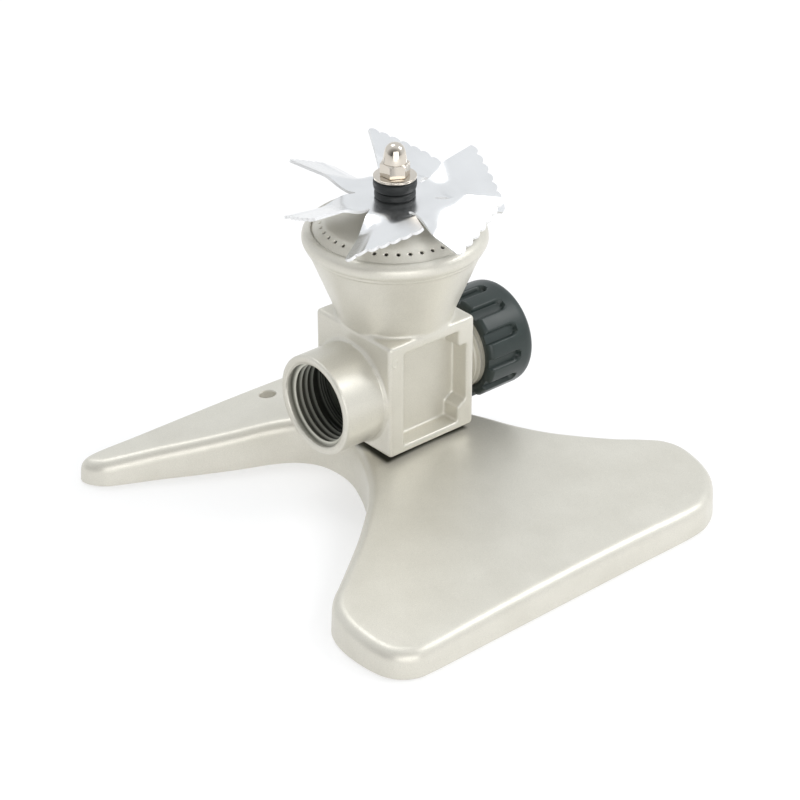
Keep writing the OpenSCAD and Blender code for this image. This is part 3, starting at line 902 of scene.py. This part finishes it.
SHEET_T = 0.9
SHEET_Z = 95.4 + SHEET_T / 2       # middle of the sheet
SLIT_R = 12.2                      # the slits between blades end here; the sheet inside is a flat disc
BLADE_R = 31.6
BLADE_HALF = 11.3                  # half width of a blade at its outer edge
SCALLOPS = 7
FIRST_BLADE = -136.2               # heading of the first blade, in degrees
# each blade is bent by hand: slope across it, lift of its outer edge, drop of its folded side
BENDS = [(0.46, -0.6, 0.9), (0.40, -1.2, 0.2), (0.55, 0.2, 0.4), (0.46, 3.0, 0.3), (0.46, 2.7, 0.4),
         (0.38, -0.9, 0.4)]


def smooth(t):
    """0 to 1 with soft ends."""
    t = min(max(t, 0), 1)
    return t * t * (3 - 2 * t)


def blade_point(u, v, bend):
    """A point of the sheet's middle: u runs across the blade from -1 to 1, v from slit root to edge."""
    slope, lift, drop = bend
    root = math.radians(u * 28.2 - 3)
    scallop = 1.15 * abs(math.sin(math.pi * SCALLOPS / 2 * (u + 1))) ** 0.7
    edge_x = BLADE_R - 0.2 - 0.9 * u * u + scallop
    edge_y = u * (BLADE_HALF + 0.012 * scallop)
    x = SLIT_R * math.cos(root) * (1 - v) + edge_x * v
    y = SLIT_R * math.sin(root) * (1 - v) + edge_y * v
    run = max(0, (x - SLIT_R) / (BLADE_R - SLIT_R))
    fold = -0.5 - y / (5.8 + (BLADE_HALF - 5.8) * run)
    strip = max(0, fold) / 0.5
    ridge = math.exp(-(fold / 0.16) ** 2)
    rise = slope * y - drop * run * (strip ** 1.3 - 0.45 * ridge)
    z = SHEET_Z + smooth(run / 0.45) * rise + lift * run ** 1.2
    return x, y, z


def thicken(verts, faces, thickness):
    """A sheet of real thickness from its middle surface."""
    verts = np.array(verts)
    normal = np.zeros_like(verts)
    sides = {}
    for face in faces:
        a, b, c = verts[face[0]], verts[face[1]], verts[face[2]]
        n = np.cross(b - a, c - a)
        for i, corner in enumerate(face):
            normal[corner] += n
            pair = (corner, face[(i + 1) % len(face)])
            if pair[::-1] in sides:
                del sides[pair[::-1]]
            else:
                sides[pair] = True
    normal /= np.linalg.norm(normal, axis=1)[:, None]
    count = len(verts)
    both = np.concatenate([verts + normal * thickness / 2, verts - normal * thickness / 2])
    out = [tuple(f) for f in faces] + [tuple(count + i for i in reversed(f)) for f in faces]
    out += [(b, a, count + a, count + b) for a, b in sides]
    return both, out


def build_turbine():
    """One sheet: a disc cut by six slits, each blade between them twisted, folded and scalloped."""
    across, rings = 84, 5
    runs = [0.88 * k / 22 for k in range(23)] + [0.88 + 0.12 * k / 8 for k in range(1, 9)]
    verts, faces = [], []
    width = across + 1
    rows = rings + len(runs)
    for n, bend in enumerate(BENDS):
        angle = math.radians(FIRST_BLADE + 60 * n)
        c, s = math.cos(angle), math.sin(angle)
        for i in range(width):
            u = -1 + 2 * i / across
            root = math.radians(u * 28.2 - 3)
            column = [(r * math.cos(root), r * math.sin(root), SHEET_Z)
                      for r in np.linspace(3.5, SLIT_R, rings, endpoint=False)]
            column += [blade_point(u, v, bend) for v in runs]
            verts += [(x * c - y * s, x * s + y * c, z) for x, y, z in column]
    for n in range(len(BENDS)):
        first = n * width * rows
        for i in range(across):
            for j in range(rows - 1):
                a = first + i * rows + j
                faces.append((a, a + 1, a + 1 + rows, a + rows))
        last, after = first + across * rows, ((n + 1) % len(BENDS)) * width * rows
        for j in range(rings):
            faces.append((last + j, last + j + 1, after + j + 1, after + j))
    return make("turbine_sheet", *thicken(verts, faces, SHEET_T), "turbine", SHEET, "turbine_plate",
                "bright_aluminium", sharp=35)


def build_hub():
    """Two rubber rings round the spindle and the plated washer on top of them."""
    z = 96.2
    lower = rounded([(3.45, z), (5.8, z), (6.3, z + 0.6), (6.25, z + 1.8), (5.85, z + 2.38),
                     (3.45, z + 2.38)], 0.5, 4)
    make("hub_ring_lower", *lathe(lower, 96), "turbine", HUB_BLACK, "hub_grommet_lower", "hub_black")
    z = 98.6
    upper = rounded([(3.45, z + 0.02), (5.9, z + 0.02), (6.45, z + 0.7), (6.65, z + 1.7), (6.6, z + 2.9),
                     (6.2, z + 3.43), (3.45, z + 3.43)], 0.5, 4)
    make("hub_ring_upper", *lathe(upper, 96), "turbine", HUB_BLACK, "hub_grommet_upper", "hub_black")
    z0, z1 = WASHER_LOW[2], WASHER_HIGH[2]
    washer = rounded([(2.6, z0), (6.6, z0), (6.6, z1), (2.6, z1)], 0.22, 3)
    make("dome_washer", *lathe(washer, 96), "sprinkler", NICKEL, "top_washer", "nickel")


def build_acorn_nut():
    """Hexagon with chamfered corners and a domed cap."""
    z0, top = NUT_LOW[2], NUT_HIGH[2]
    flat, hex_h = 4.0, 4.2
    segments = 96
    rows = []
    shoulder = 3.72
    for k in range(segments):
        angle = TAU * k / segments
        spread = (math.degrees(angle) + 30) % 60 - 30
        corner = flat / math.cos(math.radians(spread))
        drop = (corner - 3.95) * 0.62
        column = [(3.9, z0), (corner - 0.25, z0), (corner, z0 + drop * 0.6 + 0.12),
                  (corner, z0 + hex_h - drop - 0.1), (corner - 0.10, z0 + hex_h - drop),
                  (3.95, z0 + hex_h), (shoulder, z0 + hex_h + 0.02)]
        column += [(shoulder - 0.08, z0 + 4.9), (3.5, z0 + 5.8), (3.25, z0 + 7.2), (2.98, z0 + 8.3),
                   (2.5, z0 + 9.15), (1.8, z0 + 9.8), (0.95, top - 0.1)]
        rows.append([(r * math.cos(angle), r * math.sin(angle), z) for r, z in column])
    size = len(rows[0])
    verts = [v for row in rows for v in row] + [(0, 0, top)]
    faces = []
    for k in range(segments):
        m = (k + 1) % segments
        for j in range(size - 1):
            faces.append((k * size + j, m * size + j, m * size + j + 1, k * size + j + 1))
        faces.append((k * size + size - 1, m * size + size - 1, len(verts) - 1))
    faces.append(tuple(k * size for k in reversed(range(segments))))
    make("dome_nut", verts, faces, "sprinkler", NICKEL, "acorn_nut", "nickel", sharp=28)


# ---------------------------------------------------------------- cap


def build_cap():
    """Fluted screw cap: channels run from the open end and stop short of the closed end."""
    x0, x1 = CAP_LOW[0], CAP_HIGH[0]
    r = (CAP_HIGH[1] - CAP_LOW[1]) / 2
    flutes, depth, half = 12, 1.5, 1.85
    end_x = x0 + 10.4
    shell = curve_through([(x0, r - 1.4), (x0 + 0.35, r - 0.6), (x0 + 1.2, r - 0.05), (x0 + 2.2, r)], 3)
    shell += [(x, r) for x in np.linspace(x0 + 2.8, x1 - 4, 22)]
    shell += curve_through([(x1 - 3.4, r), (x1 - 1.9, r - 0.25), (x1 - 0.8, r - 0.95), (x1 - 0.15, r - 2.1),
                            (x1, r - 3.2)], 4)
    shell += [(x1, 13.2), (x1 - 0.15, 12.9), (x1 - 0.6, 12.6), (x1 - 0.6, 6.0)]
    inner = NECK_CREST_R + 0.09
    bore = [(x0, inner + 0.5), (x0 + 0.5, inner), (41.5, inner), (41.5, 0.0)]
    segments = flutes * 28
    verts, faces, rows = [], [], []

    def cut(x, angle):
        around = ((angle / TAU * flutes + 0.5) % 1 - 0.5) * TAU / flutes * r
        away = math.hypot(max(x - end_x, 0), around) - half
        return depth * smooth((0.22 - away) / 0.5)

    def add_ring(x, radius, fluted=False):
        if radius < 1e-6:
            rows.append([len(verts)] * segments)
            verts.append((x, 0, PORT_Z))
            return
        rows.append(list(range(len(verts), len(verts) + segments)))
        for k in range(segments):
            angle = TAU * k / segments
            reach = min(radius, r - cut(x, angle)) if fluted else radius
            verts.append((x, reach * math.sin(angle), PORT_Z + reach * math.cos(angle)))

    for x, radius in shell + [(x1 - 0.6, 0.0)]:
        add_ring(x, radius, fluted=radius > 15)
    start = len(rows)
    for x, radius in bore:
        add_ring(x, radius)
    pairs = [(i, i + 1) for i in range(start - 1)]
    pairs += [(i + 1, i) for i in range(start, len(rows) - 1)]
    pairs.append((start, 0))
    for i, j in pairs:
        for k in range(segments):
            m = (k + 1) % segments
            corners = [rows[i][k], rows[i][m], rows[j][m], rows[j][k]]
            corners = [c for n, c in enumerate(corners) if c not in corners[:n]]
            if len(corners) > 2:
                faces.append(corners)
    make("fluted_cap", verts, faces, "cap", CAP_BLACK, "end_cap", "cap_black", sharp=50)


# ---------------------------------------------------------------- stage, light and camera

DARK_SIDE = (-0.72, -0.66, -0.2)      # the studio is darker towards here, and bright behind and above


def build_stage():
    """A plain pale floor and a studio that is bright behind the object."""
    material, tree, shader, coords = node_material("pale_floor")
    tone = noise(tree, coords, 3, 2)
    tree.links.new(ramp(tree, tone, [(0.3, 0.49), (0.7, 0.51)]), shader.inputs["Base Color"])
    shader.inputs["Roughness"].default_value = 0.85
    shader.inputs["Specular IOR Level"].default_value = 0.1
    shader.inputs["Emission Color"].default_value = (1, 1, 1, 1)
    shader.inputs["Emission Strength"].default_value = 0.52
    mesh = bpy.data.meshes.new("floor")
    size = 4.0
    corners = [(-size, -size, 0), (size, -size, 0), (size, size, 0), (-size, size, 0)]
    mesh.from_pydata(corners, [], [(0, 1, 2, 3)])
    floor = bpy.data.objects.new("floor", mesh)
    floor.location.z = -0.0002
    bpy.context.scene.collection.objects.link(floor)
    mesh.materials.append(material)
    world = bpy.context.scene.world or bpy.data.worlds.new("world")
    bpy.context.scene.world = world
    world.use_nodes = True
    tree = world.node_tree
    sky = tree.nodes["Background"]
    coords = tree.nodes.new("ShaderNodeTexCoord")
    toward = calculate(tree, "DOT_PRODUCT", coords.outputs["Generated"], DARK_SIDE, vector=True)
    tones = [(-0.1, (0.825, 0.845, 0.865)), (0.35, 0.5), (0.8, 0.14)]
    tree.links.new(ramp(tree, toward, tones), sky.inputs["Color"])
    sky.inputs["Strength"].default_value = 1.06


def area_light(name, place, aim, size, power):
    """A soft box at a place in metres, turned towards its aim."""
    data = bpy.data.lights.new(name, "AREA")
    data.shape = "RECTANGLE"
    data.size, data.size_y = size
    data.energy = power
    light = bpy.data.objects.new(name, data)
    light.location = place
    light.rotation_euler = (Vector(aim) - Vector(place)).to_track_quat("-Z", "Y").to_euler()
    bpy.context.scene.collection.objects.link(light)


def build_lights():
    """Two soft boxes above and one low in front."""
    centre = (0, 0, 0.05)
    area_light("key", (0.78, -0.58, 0.95), centre, (0.55, 0.55), 4.4)
    area_light("overhead", (0.05, 0.5, 1.1), centre, (0.5, 0.5), 2.3)
    area_light("front_low", (-0.55, -1.02, 0.36), centre, (1.2, 0.7), 6.5)


def build_camera():
    """Camera at the viewing angle that the object's own perspective gives."""
    data = bpy.data.cameras.new("camera")
    data.sensor_width = 36
    data.lens = 106.2
    data.clip_start = 0.01
    camera = bpy.data.objects.new("camera", data)
    camera.location = (-0.41702, -0.48902, 0.39726)
    camera.rotation_euler = (math.radians(90 - 30.05), 0, math.radians(-40.59))
    bpy.context.scene.collection.objects.link(camera)
    bpy.context.scene.camera = camera


def finish_cad_nodes():
    """Small CAD pieces whose shape is right keep their mesh and take a detailed material."""
    looks = {"base_screw_left": STEEL, "base_screw_right": STEEL, "lock_washer_left": STEEL,
             "lock_washer_right": STEEL, "plate_seal": RUBBER, "spindle": STEEL,
             "spindle_locknut": STEEL, "spindle_seal": RUBBER,
             "thrust_washer": NICKEL, "hub_spacer": HUB_BLACK, "bearing_sleeve": BRASS,
             "cap_gasket": GREY_RUBBER}
    for name, material in looks.items():
        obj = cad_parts[name]
        for slot in obj.material_slots:
            slot.material = material


bpy.context.scene.view_settings.view_transform = "Standard"
build_camera()
build_stage()
build_lights()
build_base()
build_body()
build_inlet_washer()
build_spray_plate()
build_turbine()
build_hub()
build_acorn_nut()
build_cap()
finish_cad_nodes()
